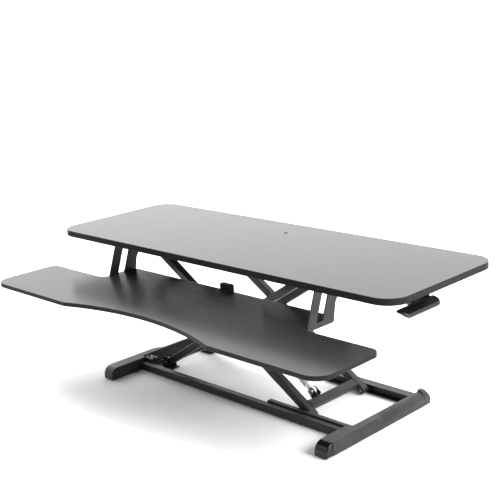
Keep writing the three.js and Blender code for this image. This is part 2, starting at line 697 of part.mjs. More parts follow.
// The paddle's section curves down from the hinge to a rounded lip.
function paddleSection() {
  const { hingeX, hingeZ, tip, root, drop, thick } = paddle;
  const middle = (hingeX + tip) / 2 + root / 2;
  const top = hingeZ - drop;
  const bottom = top - thick + root / 3;
  const side = new THREE.Shape();
  side.moveTo(hingeX, hingeZ + root / 2);
  side.quadraticCurveTo(middle, hingeZ + root / 2, tip - root, top + 2);
  side.quadraticCurveTo(tip, top, tip, (top + bottom) / 2);
  side.quadraticCurveTo(tip, bottom, tip - root, bottom);
  side.quadraticCurveTo(middle, hingeZ - root / 2 - 1, hingeX, hingeZ - root / 2);
  return side;
}

function paddlePlan() {
  const { hingeX, tip, front, back, clear, nearCorner, farCorner } = paddle;
  const plan = new THREE.Shape();
  plan.moveTo(hingeX - clear, front);
  plan.absarc(tip - nearCorner, front + nearCorner, nearCorner, -Math.PI / 2, 0);
  plan.absarc(tip - farCorner, back - farCorner, farCorner, 0, Math.PI / 2);
  plan.lineTo(hingeX - clear, back);
  return plan;
}

function paddleGeometry() {
  const { hingeX, hingeZ, front, back, barrel, hubFront, hubBack, pinRadius, drop, thick, clear } = paddle;
  const slab = extrudeY(paddleSection(), front, back);
  const plan = extrudeZ(paddlePlan(), hingeZ - 2 * drop - thick, hingeZ + thick);
  const hub = bar(hingeX, hingeZ, barrel, front + hubFront, back - hubBack);
  const bore = bar(hingeX, hingeZ, pinRadius + boreClearance, front - overcut, back + overcut);
  const clearOfEars = [[front - overcut, front + hubFront], [back - hubBack, back + overcut]].map(
    ([y0, y1]) => box(hingeX - clear, hingeX + clear, y0, y1, hingeZ - clear, hingeZ + clear));
  return cut(join(intersect(slab, plan), hub), bore, ...clearOfEars);
}

function addPaddle() {
  const {
    hingeX, hingeZ, front, back, hubFront, hubBack, pinRadius, pinOut, earGap, plate, plateLeft, plateRight,
  } = paddle;
  const top = deskUnder - touch;
  const earFront = front + hubFront - earGap - bracketPlate;
  const earBack = back - hubBack + earGap;
  const base = box(
    hingeX - plateLeft, hingeX + plateRight, earFront, earBack + bracketPlate, top - plate, top);
  const ears = [earFront, earBack].map((y) => {
    const ear = new THREE.Shape();
    ear.moveTo(hingeX + paddle.earRadius, top - plate / 2);
    ear.lineTo(hingeX - 2 * paddle.earRadius, top - plate / 2);
    ear.absarc(hingeX, hingeZ, paddle.earRadius, Math.PI, Math.PI * 2);
    return extrudeY(ear, y, y + bracketPlate);
  });
  const bore = bar(hingeX, hingeZ, pinRadius + boreClearance, front, back);
  addMesh(converter, 'paddle_bracket', cut(join(base, ...ears), bore), 'steel');
  addMesh(converter, 'paddle_pin', bar(
    hingeX, hingeZ, pinRadius, earFront - pinOut, earBack + bracketPlate + pinOut), 'zinc');
  addMesh(converter, 'release_paddle', paddleGeometry(), 'plastic');
}

addBase();
addInnerFrame();
addOuterFrame();
addGasSpring();
addDesktop();
addTray();
addPaddle();

// The origin is at the middle of the overall footprint.
converter.position.set(
  -(paddle.tip - desk.width / 2) / 2,
  -(tray.front + desk.front + desk.depth) / 2,
  0);

export default converter;
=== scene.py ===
"""A standing desk converter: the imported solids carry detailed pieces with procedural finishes."""

import math

import bmesh
import bpy
from mathutils import Matrix, Vector


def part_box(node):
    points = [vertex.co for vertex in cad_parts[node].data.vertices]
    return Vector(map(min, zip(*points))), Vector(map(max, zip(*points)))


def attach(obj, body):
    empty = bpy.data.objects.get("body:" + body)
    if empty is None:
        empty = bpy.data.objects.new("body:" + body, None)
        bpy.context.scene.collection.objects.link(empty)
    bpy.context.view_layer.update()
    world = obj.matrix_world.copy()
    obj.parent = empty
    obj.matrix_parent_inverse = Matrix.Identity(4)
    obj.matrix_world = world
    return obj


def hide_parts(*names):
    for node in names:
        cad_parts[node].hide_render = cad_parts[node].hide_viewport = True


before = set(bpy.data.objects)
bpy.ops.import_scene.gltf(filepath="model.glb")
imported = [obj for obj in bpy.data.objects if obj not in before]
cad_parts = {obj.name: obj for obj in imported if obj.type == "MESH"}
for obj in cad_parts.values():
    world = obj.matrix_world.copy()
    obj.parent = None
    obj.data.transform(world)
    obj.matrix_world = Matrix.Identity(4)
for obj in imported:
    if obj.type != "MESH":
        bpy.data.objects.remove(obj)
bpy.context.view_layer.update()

# Pieces are drawn in millimetres and placed once, in add_piece. Their zero is on the floor, at the
# middle of the work surface's width and of the feet's length.
MM = 0.001


def middle(node):
    low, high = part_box(node)
    return (low + high) / 2


FEET_MIDDLE = (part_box("foot_cap_left_front")[0].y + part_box("foot_cap_left_rear")[1].y) / 2
PLACE = Matrix.Translation((middle("desktop").x, FEET_MIDDLE, 0)) @ Matrix.Scale(MM, 4)
TO_MM = PLACE.inverted()


def box_mm(node):
    low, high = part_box(node)
    return TO_MM @ low, TO_MM @ high


def middle_mm(node):
    return TO_MM @ middle(node)


# Camera

# The place is in millimetres, the turns are in degrees.
CAMERA = {
    "place": (1628.85, -1620.0, 957.9), "azimuth": 45.24, "elevation": 14.776, "roll": -3.128,
    "lens": 73.19, "sensor": 36}


def add_camera():
    turn, tilt, roll = (math.radians(CAMERA[key]) for key in ("azimuth", "elevation", "roll"))
    look = Vector((-math.sin(turn) * math.cos(tilt), math.cos(turn) * math.cos(tilt), -math.sin(tilt)))
    right = Vector((math.cos(turn), math.sin(turn), 0))
    up = right.cross(look)
    x_axis = right * math.cos(roll) + up * math.sin(roll)
    y_axis = up * math.cos(roll) - right * math.sin(roll)
    data = bpy.data.cameras.new("camera")
    data.lens = CAMERA["lens"]
    data.sensor_width = CAMERA["sensor"]
    camera = bpy.data.objects.new("camera", data)
    turned = Matrix((x_axis, y_axis, -look)).transposed().to_4x4()
    camera.matrix_world = Matrix.Translation(PLACE @ Vector(CAMERA["place"])) @ turned
    bpy.context.scene.collection.objects.link(camera)
    bpy.context.scene.camera = camera


add_camera()

# Materials


class Finish:
    """A Principled material whose colour, roughness and bump come from noise in object space."""

    def __init__(self, name, **sockets):
        self.material = bpy.data.materials.new(name)
        self.material.use_nodes = True
        self.nodes = self.material.node_tree.nodes
        self.links = self.material.node_tree.links
        self.shader = self.nodes["Principled BSDF"]
        for key, value in sockets.items():
            self.shader.inputs[key.replace("_", " ")].default_value = value
        self.place = self.nodes.new("ShaderNodeTexCoord").outputs["Object"]

    def link(self, source, target):
        self.links.new(source, target)

    def noise(self, scale, detail, stretch=(1, 1, 1)):
        mapping = self.nodes.new("ShaderNodeMapping")
        mapping.inputs["Scale"].default_value = stretch
        self.link(self.place, mapping.inputs["Vector"])
        node = self.nodes.new("ShaderNodeTexNoise")
        node.inputs["Scale"].default_value = scale
        node.inputs["Detail"].default_value = detail
        node.inputs["Roughness"].default_value = 0.55
        self.link(mapping.outputs["Vector"], node.inputs["Vector"])
        return node.outputs["Fac"]

    def ramp(self, source, low, high, start=0.3, end=0.7):
        node = self.nodes.new("ShaderNodeMapRange")
        node.inputs["From Min"].default_value = start
        node.inputs["From Max"].default_value = end
        node.inputs["To Min"].default_value = low
        node.inputs["To Max"].default_value = high
        self.link(source, node.inputs["Value"])
        return node.outputs["Result"]

    def blend(self, factor, first, second):
        node = self.nodes.new("ShaderNodeMix")
        node.data_type = "RGBA"
        node.clamp_factor = True
        self.link(factor, node.inputs["Factor"])
        for socket, colour in ((node.inputs[6], first), (node.inputs[7], second)):
            if isinstance(colour, tuple):
                socket.default_value = (*colour, 1)
            else:
                self.link(colour, socket)
        return node.outputs[2]

    def edge_wear_and_highlight(self, amount):
        """A patchy mask along the sharp convex edges, for wear and a painted edge highlight."""
        pointiness = self.nodes.new("ShaderNodeNewGeometry").outputs["Pointiness"]
        edge = self.ramp(pointiness, 0.0, amount, 0.52, 0.60)
        patchy = self.ramp(self.noise(45, 3), 0.2, 1.0)
        node = self.nodes.new("ShaderNodeMath")
        node.operation = "MULTIPLY"
        self.link(edge, node.inputs[0])
        self.link(patchy, node.inputs[1])
        return node.outputs[0]

    def colour(self, source):
        self.link(source, self.shader.inputs["Base Color"])

    def rough(self, source):
        self.link(source, self.shader.inputs["Roughness"])

    def bump(self, source, strength, distance, after=None):
        node = self.nodes.new("ShaderNodeBump")
        node.inputs["Strength"].default_value = strength
        node.inputs["Distance"].default_value = distance
        self.link(source, node.inputs["Height"])
        if after is not None:
            self.link(after, node.inputs["Normal"])
        self.link(node.outputs["Normal"], self.shader.inputs["Normal"])
        return node.outputs["Normal"]


def grey(level, blue=1.03):
    return (level, level, level * blue)


def laminate_finish(name, level, rough_low, rough_high, streak, shine):
    """Black laminate: a soft mottle with fine flecks, over two layers of very fine texture."""
    finish = Finish(name, Specular_IOR_Level=shine)
    mottle = finish.ramp(finish.noise(14, 5), 0.0, 1.0)
    fleck = finish.noise(700, 2)
    base = finish.blend(mottle, grey(level * 0.93), grey(level * 1.07))
    finish.colour(finish.blend(finish.ramp(fleck, 0.0, 0.25), base, grey(level * 1.35)))
    finish.rough(finish.ramp(finish.noise(22, 6), rough_low, rough_high))
    first = finish.bump(finish.noise(300, 2, streak), 0.02, 0.0004)
    finish.bump(finish.noise(1500, 1), 0.03, 0.0002, first)
    return finish.material


def coat_finish(name, level, rough_low, rough_high):
    """Powder coat: a pebbled surface, lighter along its edges, partly from wear and partly as a painted
    highlight.
    """
    finish = Finish(name, Specular_IOR_Level=0.25)
    mottle = finish.ramp(finish.noise(30, 4), 0.0, 1.0)
    base = finish.blend(mottle, grey(level * 0.9), grey(level * 1.1))
    # The lighter edges are partly wear and partly a painted highlight.
    finish.colour(finish.blend(finish.edge_wear_and_highlight(0.5), base, grey(level * 3.2)))
    finish.rough(finish.ramp(finish.noise(70, 5), rough_low, rough_high))
    first = finish.bump(finish.noise(1300, 3), 0.16, 0.0003)
    finish.bump(finish.noise(90, 3), 0.05, 0.0005, first)
    return finish.material


def moulded_finish(name, level, rough_low, rough_high, grain=0.06, scale=2200):
    """Plastic, rubber or paint: a soft mottle and a grain, with slightly lighter edges that are partly wear
    and partly a painted highlight.
    """
    finish = Finish(name, Specular_IOR_Level=0.4)
    mottle = finish.ramp(finish.noise(40, 4), 0.0, 1.0)
    base = finish.blend(mottle, grey(level * 0.9), grey(level * 1.1))
    # The lighter edges are partly wear and partly a painted highlight.
    finish.colour(finish.blend(finish.edge_wear_and_highlight(0.25), base, grey(level * 3)))
    finish.rough(finish.ramp(finish.noise(55, 5), rough_low, rough_high))
    finish.bump(finish.noise(scale, 2), grain, 0.0002)
    return finish.material


def metal_finish(name, level, rough_low, rough_high, grain, metallic=1.0):
    """Bare or plated metal: a soft mottle, and a fine grain in its roughness and surface."""
    finish = Finish(name, Metallic=metallic)
    mottle = finish.ramp(finish.noise(60, 5), 0.0, 1.0)
    finish.colour(finish.blend(mottle, grey(level * 0.86, 1.02), grey(level * 1.05, 1.02)))
    finish.rough(finish.ramp(finish.noise(500, 4), rough_low, rough_high))
    finish.bump(finish.noise(900, 3), grain, 0.0002)
    return finish.material


LAMINATE = laminate_finish("laminate_top", 0.016, 0.205, 0.230, (0.25, 1.4, 1.4), 0.25)
EDGE_BAND = laminate_finish("laminate_edge_band", 0.014, 0.36, 0.46, (0.05, 0.05, 3.0), 0.05)
STEEL = coat_finish("black_steel", 0.020, 0.38, 0.48)
GLOSS = moulded_finish("black_plastic", 0.006, 0.12, 0.20)
SATIN = moulded_finish("satin_black_plastic", 0.017, 0.36, 0.46)
RUBBER = moulded_finish("black_rubber", 0.018, 0.75, 0.92, 0.3, 700)
NYLON = moulded_finish("black_nylon", 0.014, 0.40, 0.55)
PAINT = moulded_finish("gloss_black_paint", 0.009, 0.14, 0.24, 0.03)
ROD = metal_finish("polished_rod", 0.78, 0.06, 0.14, 0.02)
ZINC = metal_finish("zinc_hardware", 0.62, 0.22, 0.38, 0.10)
DARK_ZINC = metal_finish("dark_zinc_hardware", 0.16, 0.30, 0.45, 0.10)
SILVER = metal_finish("silver_fitting", 0.92, 0.24, 0.40, 0.08, 0.35)

# Outlines


def rounded(corners, steps):
    """A closed ring through (u, v) or (u, v, radius) corners, with an arc at each radius."""
    ring = []
    for index, corner in enumerate(corners):
        here = Vector(corner[:2])
        if len(corner) == 2:
            ring.append(here)
            continue
        before = (Vector(corners[index - 1][:2]) - here).normalized()
        after = (Vector(corners[(index + 1) % len(corners)][:2]) - here).normalized()
        half = before.angle(after) / 2
        centre = here + (before + after).normalized() * (corner[2] / math.sin(half))
        start = here + before * (corner[2] / math.tan(half)) - centre
        end = here + after * (corner[2] / math.tan(half)) - centre
        first = math.atan2(start.y, start.x)
        sweep = math.atan2(end.y, end.x) - first
        sweep = (sweep + math.pi) % (2 * math.pi) - math.pi
        for step in range(steps + 1):
            angle = first + sweep * step / steps
            ring.append(centre + Vector((math.cos(angle), math.sin(angle))) * corner[2])
    return ring


def rounded_box(u0, u1, v0, v1, radius, steps=8):
    return rounded([(u0, v0, radius), (u1, v0, radius), (u1, v1, radius), (u0, v1, radius)], steps)


def grooved_box(u0, u1, v0, v1, radius, inset=4.2):
    """A rounded box whose v0 and v1 faces each have two rolled grooves along their edges."""
    deep, half_wide = 0.7, 0.55

    def dents(v, inward, forward):
        places = [u0 + inset, u1 - inset]
        line = []
        for u in places if forward else places[::-1]:
            step = half_wide if forward else -half_wide
            floor = v + inward * deep
            line += [(u - step, v), (u - step * 0.4, floor), (u + step * 0.4, floor), (u + step, v)]
        return line

    return rounded([
        (u0, v0, radius), *dents(v0, 1, True), (u1, v0, radius), (u1, v1, radius), *dents(v1, -1, False),
        (u0, v1, radius)], 6)


def arc(u, v, radius, first, last, steps):
    """Points round (u, v) from the first angle to the last, in degrees."""
    turns = (math.radians(first + (last - first) * step / steps) for step in range(steps + 1))
    return [Vector((u + radius * math.cos(turn), v + radius * math.sin(turn))) for turn in turns]


def circle(u, v, radius, steps=40):
    return arc(u, v, radius, 0, 360, steps)[:-1]


# Meshes, in millimetres

FLAT = Matrix.Identity(4)
UPRIGHT = Matrix(((1, 0, 0, 0), (0, 0, -1, 0), (0, 1, 0, 0), (0, 0, 0, 1)))
SIDEWAYS = Matrix(((0, 0, 1, 0), (1, 0, 0, 0), (0, 1, 0, 0), (0, 0, 0, 1)))


def slab(outline, low, high, edge, plane=FLAT, holes=(), steps=2):
    """A solid of that outline with rounded edges. FLAT fills z, UPRIGHT fills y, SIDEWAYS fills x."""
    if plane is UPRIGHT:
        low, high = -high, -low
    curve = bpy.data.curves.new("outline", "CURVE")
    curve.dimensions = "2D"
    curve.fill_mode = "BOTH"
    for ring in [outline, *holes]:
        spline = curve.splines.new("POLY")
        spline.points.add(len(ring) - 1)
        for point, place in zip(spline.points, ring):
            point.co = (place[0], place[1], 0, 1)
        spline.use_cyclic_u = True
    curve.extrude = (high - low) / 2 - edge
    curve.bevel_depth = edge
    curve.bevel_resolution = steps
    curve.offset = -edge
    holder = bpy.data.objects.new("outline", curve)
    bpy.context.scene.collection.objects.link(holder)
    bpy.context.view_layer.update()
    mesh = bpy.data.meshes.new_from_object(holder.evaluated_get(bpy.context.evaluated_depsgraph_get()))
    bpy.data.objects.remove(holder)
    bpy.data.curves.remove(curve)
    mesh.materials.clear()
    mesh.transform(plane @ Matrix.Translation((0, 0, (low + high) / 2)))
    return mesh


def lathe(profile, segments=56):
    """A round solid along its own Y axis from (radius, y) or (radius, y, sides) rings."""
    mesh = bmesh.new()
    rings = []
    for entry in profile:
        radius, along = entry[:2]
        sides = entry[2] if len(entry) > 2 else 0
        if radius == 0:
            rings.append([mesh.verts.new((0, along, 0))])
            continue
        ring = []
        for step in range(segments):
            turn = 2 * math.pi * step / segments
            reach = radius
            if sides:
                face = 2 * math.pi / sides
                reach = radius * math.cos(face / 2) / math.cos(turn % face - face / 2)
            ring.append(mesh.verts.new((reach * math.cos(turn), along, reach * math.sin(turn))))
        rings.append(ring)
    for first, second in zip(rings, rings[1:]):
        for step in range(segments):
            after = (step + 1) % segments
            corners = [first[step % len(first)], first[after % len(first)],
                       second[after % len(second)], second[step % len(second)]]
            unique = list(dict.fromkeys(corners))
            if len(unique) > 2:
                mesh.faces.new(unique)
    return finished(mesh)


def finished(mesh):
    """The edited mesh as mesh data, with its doubled points joined and its faces turned outwards."""
    bmesh.ops.remove_doubles(mesh, verts=mesh.verts, dist=0.002)
    bmesh.ops.recalc_face_normals(mesh, faces=mesh.faces)
    result = bpy.data.meshes.new("mesh")
    mesh.to_mesh(result)
    mesh.free()
    return result


def merged(*meshes):
    """One mesh that holds them all side by side."""
    whole = bmesh.new()
    for mesh in meshes:
        whole.from_mesh(mesh)
    result = bpy.data.meshes.new("mesh")
    whole.to_mesh(result)
    whole.free()
    return result


def moved(mesh, matrix):
    mesh.transform(matrix)
    return mesh


def shifted(mesh, x, y=0, z=0):
    return moved(mesh, Matrix.Translation((x, y, z)))


def mirrored(mesh):
    """The mesh for the other side of the object."""
    copy = mesh.copy()
    copy.transform(Matrix.Scale(-1, 4, (1, 0, 0)))
    copy.flip_normals()
    return copy


def sliced(mesh, point, normal):
    """The mesh with everything on the normal's side of the plane cut off, and the cut closed."""
    work = bmesh.new()
    work.from_mesh(mesh)
    bmesh.ops.remove_doubles(work, verts=work.verts, dist=0.002)
    geometry = work.verts[:] + work.edges[:] + work.faces[:]
    bmesh.ops.bisect_plane(work, geom=geometry, dist=0.001, plane_co=point, plane_no=normal, clear_outer=True)
    bmesh.ops.holes_fill(work, edges=[edge for edge in work.edges if edge.is_boundary], sides=0)
    return finished(work)


def weld_bead(ring, radius):
    """A rippled fillet of weld along a closed ring of 3-D points."""
    work = bmesh.new()
    loops = []
    count, sides = len(ring), 8
    for index, place in enumerate(ring):
        ahead = (ring[(index + 1) % count] - ring[index - 1]).normalized()
        side = ahead.orthogonal().normalized()
        other = ahead.cross(Vector((0, 1, 0))).normalized()
        if other.length > 0.5:
            side = Vector((0, 1, 0))
        size = radius * (1 + 0.16 * math.sin(index * 2.4))
        loops.append([
            work.verts.new(place + (side * math.cos(turn) + other * math.sin(turn)) * size)
            for turn in (2 * math.pi * step / sides for step in range(sides))])
    for index in range(count):
        first, second = loops[index], loops[(index + 1) % count]
        for step in range(sides):
            after = (step + 1) % sides
            work.faces.new([first[step], first[after], second[after], second[step]])
    return finished(work)


def resampled(ring, spacing):
    """Evenly spaced points along a closed ring."""
    points = []
    for index, start in enumerate(ring):
        end = ring[(index + 1) % len(ring)]
        count = max(1, round((end - start).length / spacing))
        points += [start.lerp(end, step / count) for step in range(count)]
    return points


# Pieces


def add_piece(name, mesh, body, material, nodes=(), smooth=38):
    mesh.transform(PLACE)
    work = bmesh.new()
    work.from_mesh(mesh)
    bmesh.ops.remove_doubles(work, verts=work.verts, dist=2e-6)
    bmesh.ops.dissolve_degenerate(work, edges=work.edges, dist=1e-7)
    bmesh.ops.recalc_face_normals(work, faces=work.faces)
    work.to_mesh(mesh)
    work.free()
    mesh.name = name
    mesh.shade_smooth()
    mesh.set_sharp_from_angle(angle=math.radians(smooth))
    mesh.materials.clear()
    mesh.materials.append(material)
    piece = bpy.data.objects.new(name, mesh)
    bpy.context.scene.collection.objects.link(piece)
    weighted = piece.modifiers.new("weighted", "WEIGHTED_NORMAL")
    weighted.keep_sharp = True
    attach(piece, body)
    if nodes:
        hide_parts(*nodes)
    return piece


def band_edges(piece):
    """The upright faces of a board take the edge band's finish."""
    piece.data.materials.append(EDGE_BAND)
    for face in piece.data.polygons:
        if abs(face.normal.z) < 0.35:
            face.material_index = 1


def domed_screw(radius, high):
    """A button-head screw that stands on y = 0 and rises along -Y, with a hexagon recess."""
    return lathe([
        (0, 0), (radius, 0), (radius, -high * 0.3), (radius * 0.9, -high * 0.75), (radius * 0.62, -high),
        (radius * 0.50, -high, 6), (radius * 0.46, -high * 0.25, 6), (0, -high * 0.25)], 36)


POINTS_DOWN = Matrix.Rotation(math.radians(90), 4, "X")
POINTS_UP = Matrix.Rotation(math.radians(-90), 4, "X")


def screws_at(places, turn, radius, high):
    return merged(*[
        moved(domed_screw(radius, high), Matrix.Translation(place) @ turn) for place in places])


# Work surface and tray

DESK_LOW, DESK_HIGH = box_mm("desktop")
TRAY_LOW, TRAY_HIGH = box_mm("keyboard_tray")
BOARD_EDGE = 1.1
HOLE_PLACE, HOLE_RADIUS = (0, 120), 5


def add_desktop():
    outline = rounded_box(DESK_LOW.x, DESK_HIGH.x, DESK_LOW.y, DESK_HIGH.y, 50, 28)
    hole = circle(*HOLE_PLACE, HOLE_RADIUS)
    board = slab(outline, DESK_LOW.z, DESK_HIGH.z, BOARD_EDGE, holes=[hole], steps=3)
    piece = add_piece("work_surface_board", board, "work_surface", LAMINATE, ["desktop"])
    band_edges(piece)
    outer, inner = HOLE_RADIUS - 0.1, HOLE_RADIUS - 0.9
    bottom, top = -0.3, 14.7
    ring = lathe([(outer, bottom), (outer, top), (inner, top), (inner, bottom), (outer, bottom)], 48)
    sleeve = moved(ring, Matrix.Translation((*HOLE_PLACE, DESK_LOW.z)) @ POINTS_DOWN)
    add_piece("mount_hole_sleeve", sleeve, "work_surface", NYLON)


def add_tray():
    """A board with a curved recess in its front edge, and a narrower tongue behind its wings."""
    recess_half, recess_deep = 237, 43
    radius = recess_half**2 / (2 * recess_deep) + recess_deep / 2
    spread = math.degrees(math.asin(recess_half / radius))
    recess = arc(0, TRAY_LOW.y + recess_deep - radius, radius, 90 + spread, 90 - spread, 48)
    wing, tongue = -194, 320.5
    corners = [
        (TRAY_LOW.x, TRAY_LOW.y, 40), *[tuple(point) for point in recess], (TRAY_HIGH.x, TRAY_LOW.y, 40),
        (TRAY_HIGH.x, wing, 22), (tongue, wing, 24), (tongue, TRAY_HIGH.y, 8),
        (-tongue, TRAY_HIGH.y, 8), (-tongue, wing, 24), (TRAY_LOW.x, wing, 22)]
    board = slab(rounded(corners, 16), TRAY_LOW.z, TRAY_HIGH.z, BOARD_EDGE, steps=3)
    piece = add_piece("tray_board", board, "work_surface", LAMINATE, ["keyboard_tray"])
    band_edges(piece)


BRACKET_THICK = 3


def tray_bracket_mesh():
    """The right bracket: a slotted plate, with a flange under each board."""
    low, high = box_mm("tray_bracket_right")
    top, bottom = high.z, low.z
    front_top, heel_front, heel_back, bend = -148, -161, -93, 307

    def front(z):
        return front_top + (z - top) * 0.36

    flare = heel_back + (bend - bottom) * 0.18
    back_top = flare + (top - bend) * 0.67
    outline = rounded([
        (front(bottom + 7), bottom + 7, 3), (heel_front, bottom, 4), (heel_back, bottom, 4),
        (flare, bend, 12), (back_top, top, 2), (front_top, top, 2)], 6)
    floor, slot_top = TRAY_HIGH.z, top - 12
    slot_front, slot_back = 27, 46.5
    slot = rounded([
        (front(floor) + slot_front, floor, 3), (front(slot_top) + slot_front, slot_top, 4),
        (front(slot_top) + slot_back, slot_top, 4), (front(floor) + slot_back, floor, 3)], 5)
    plate = slab(outline, high.x - BRACKET_THICK, high.x, 0.7, SIDEWAYS, [slot], 3)
    flanges = [
        slab(rounded_box(low.x, high.x - 1.2, y0, y1, 5), z, z + BRACKET_THICK, 0.5)
        for y0, y1, z in ((heel_front + 2, heel_back - 2, bottom), (-146, -72, top - BRACKET_THICK))]
    return merged(plate, *flanges)


def add_tray_brackets():
    plate = tray_bracket_mesh()
    low, high = box_mm("tray_bracket_right")
    rows = ((-150, low.z), (-104, low.z), (-136, high.z - BRACKET_THICK), (-84, high.z - BRACKET_THICK))
    heads = screws_at([(low.x + 11, y, z) for y, z in rows], POINTS_DOWN, 3.8, 2.0)
    sides = {"right": (plate, heads), "left": (mirrored(plate), mirrored(heads))}
    for side, (steel, screws) in sides.items():
        node = f"tray_bracket_{side}"
        add_piece(f"{node}_plate", steel, "work_surface", STEEL, [node])
        add_piece(f"{node}_screws", screws, "work_surface", DARK_ZINC)


def add_tray_stop():
    low, high = box_mm("tray_rear_stop")
    block = slab(rounded_box(low.x, high.x, low.z, high.z, 3.2, 6), low.y, high.y, 1.2, UPRIGHT, steps=3)
    seam = rounded_box(low.x + 7, high.x - 7, high.z - 5.5, high.z - 4.3, 0.5, 3)
    bar = slab(seam, low.y, low.y + 1.3, 0.2, UPRIGHT)
    mesh = merged(block, bar)
    add_piece("tray_stop_block", mesh, "work_surface", GLOSS, ["tray_rear_stop"])


# Base

FOOT = {"outer": 370.7, "inner": 336.4, "narrow": 349.4, "bottom": 2.0, "top": 31.7, "sheet": 1.8}
# Along a foot, the inner wall steps out at the jog, and then the outer shoulder turns into a slope.
JOG_START, JOG_END = -78, -69
SLOPE_START, SLOPE_END, SLOPE_FOOT = -20, 12, 14
RIDGE = FOOT["narrow"] + 2
FOLD = 1.6


def ease(value, start, end):
    """From 0 at the start to 1 at the end, level at both."""
    share = min(1.0, max(0.0, (value - start) / (end - start)))
    return share * share * (3 - 2 * share)


def shoulder(u, v, reach_u, reach_v, steps=10):
    """A quarter ellipse at the corner (u, v), from its flat top round to its upright side."""
    turns = (math.pi / 2 * (1 - step / steps) for step in range(steps + 1))
    return [Vector((u - reach_u + reach_u * math.cos(turn), v - reach_v + reach_v * math.sin(turn)))
            for turn in turns]


def foot_section(y, inset, top):
    """The outline of the foot's folded sheet in (x, z) at y, moved in by the inset."""
    inner = FOOT["inner"] + (FOOT["narrow"] - FOOT["inner"]) * ease(y, JOG_START, JOG_END)
    outer, bottom = FOOT["outer"], FOOT["bottom"]
    share = ease(y, SLOPE_START, SLOPE_END)
    wide = FOLD + (outer - RIDGE - FOLD) * share
    high = FOLD + (top - SLOPE_FOOT - FOLD) * share
    near = inner + inset
    corner = 1.3 - inset * 0.5
    fold = [Vector((-point.x, point.y)) for point in shoulder(-near, top - inset, corner, corner, 4)]
    outside = shoulder(outer - inset, top - inset, max(wide - inset, 0.5), max(high - inset, 0.5))
    return [Vector((near, bottom)), *fold[::-1], *outside, Vector((outer - inset, bottom))]


def loft(rings):
    """Skin between closed rings of 3-D points; both ends stay open."""
    work = bmesh.new()
    loops = [[work.verts.new(point) for point in ring] for ring in rings]
    for first, second in zip(loops, loops[1:]):
        for index in range(len(first)):
            after = (index + 1) % len(first)
            work.faces.new([first[index], first[after], second[after], second[index]])
    return work, loops


def foot_mesh():
    """The right foot: folded sheet, narrower behind the jog, whose outer shoulder rounds over."""
    low, high = box_mm("foot_right")
    stations = {low.y, high.y}
    stations.update(JOG_START + (JOG_END - JOG_START) * step / 6 for step in range(7))
    stations.update(SLOPE_START + (SLOPE_END - SLOPE_START) * step / 24 for step in range(25))
    rings = []
    for y in sorted(stations):
        ring = foot_section(y, 0, FOOT["top"]) + foot_section(y, FOOT["sheet"], FOOT["top"])[::-1]
        rings.append([Vector((point.x, y, point.y)) for point in ring])
    work, loops = loft(rings)
    half = len(loops[0]) // 2
    for ring in (loops[0], loops[-1]):
        for index in range(half - 1):
            work.faces.new([ring[index], ring[index + 1], ring[-2 - index], ring[-1 - index]])
    return finished(work)


def rear_cap_mesh():
    """A moulded cap that stands proud of the foot's top and rounds down to its rear end."""
    low, high = box_mm("foot_cap_right_rear")
    radius = 13
    stations = [(low.y, 1.0), (low.y + 0.5, 0.3), (low.y + 1.2, 0.0), (low.y + 4, 0.0)]
    for turn in range(0, 91, 9):
        stations.append((high.y - radius + radius * math.sin(math.radians(turn)), 0.0))
    rings = []
    for y, inset in stations:
        past = max(0.0, y - (high.y - radius))
        top = high.z - radius + math.sqrt(max(0.0, radius**2 - past**2))
        ring = foot_section(y, inset, top)
        rings.append([Vector((point.x, y, point.y)) for point in ring])
    work, loops = loft(rings)
    for ring in (loops[0], loops[-1]):
        work.faces.new(ring)
    return finished(work)


def front_cap_mesh():
    """The moulded front end of a foot, whose top rounds down to its front face."""
    front, back, radius = -184.0, -162.0, 21.0
    bottom, top = FOOT["bottom"], FOOT["top"]
    rise = arc(front + radius, top - radius, radius, 90, 180, 18)
    profile = [Vector((back, bottom)), Vector((back, top)), *rise, Vector((front, bottom))]
    return slab(profile, FOOT["inner"], FOOT["outer"], 2.4, SIDEWAYS, steps=5)


def foot_pad_mesh(end):
    """A rubber pad, with three ribs across it."""
    low, high = box_mm(f"foot_pad_right{end}")
    pad = slab(rounded_box(low.x, high.x, low.y, high.y, 3, 6), low.z, high.z, 0.4)
    ribs = [
        slab(rounded_box(low.x + 3, high.x - 3, y - 0.6, y + 0.6, 0.5, 3), low.z, high.z, 0.2)
        for y in (low.y + 4, (low.y + high.y) / 2, high.y - 4)]
    return merged(pad, *ribs)


def add_feet():
    """Each part of the right foot, and its mirror image on the left."""
    parts = [
        ("foot", "", foot_mesh(), STEEL, "black_steel"),
        ("foot_cap", "_front", front_cap_mesh(), GLOSS, "black_plastic"),
        ("foot_cap", "_rear", rear_cap_mesh(), SATIN, "black_plastic"),
        ("foot_pad", "_front", foot_pad_mesh("_front"), RUBBER, "black_rubber"),
        ("foot_pad", "_rear", foot_pad_mesh("_rear"), RUBBER, "black_rubber")]
    for stem, end, mesh, material, slot in parts:
        for side, copy in (("left", mirrored(mesh)), ("right", mesh)):
            node = f"{stem}_{side}{end}"
            add_piece(f"{node}_shell", copy, "base", material, [node])


def add_rails():
    for node in ("front_rail", "rear_rail"):
        low, high = box_mm(node)
        tube = slab(grooved_box(low.y, high.y, low.z, high.z, 2.2, 5.0), low.x, high.x, 0.15, SIDEWAYS)
        add_piece(f"{node}_tube", tube, "base", STEEL, [node])


def channel_section(low, high, opens):
    """A rolled C section in (y, z), open towards +y or -y."""
    wall, bend = 1.5, 2.2
    web, lip = (low.y, high.y) if opens > 0 else (high.y, low.y)
    inside = web + opens * wall
    corners = [
        (web, low.z, bend), (lip, low.z, 0.4), (lip, low.z + wall, 0.4), (inside, low.z + wall, 0.8),
        (inside, high.z - wall, 0.8), (lip, high.z - wall, 0.4), (lip, high.z, 0.4), (web, high.z, bend)]
    return rounded(corners, 5)


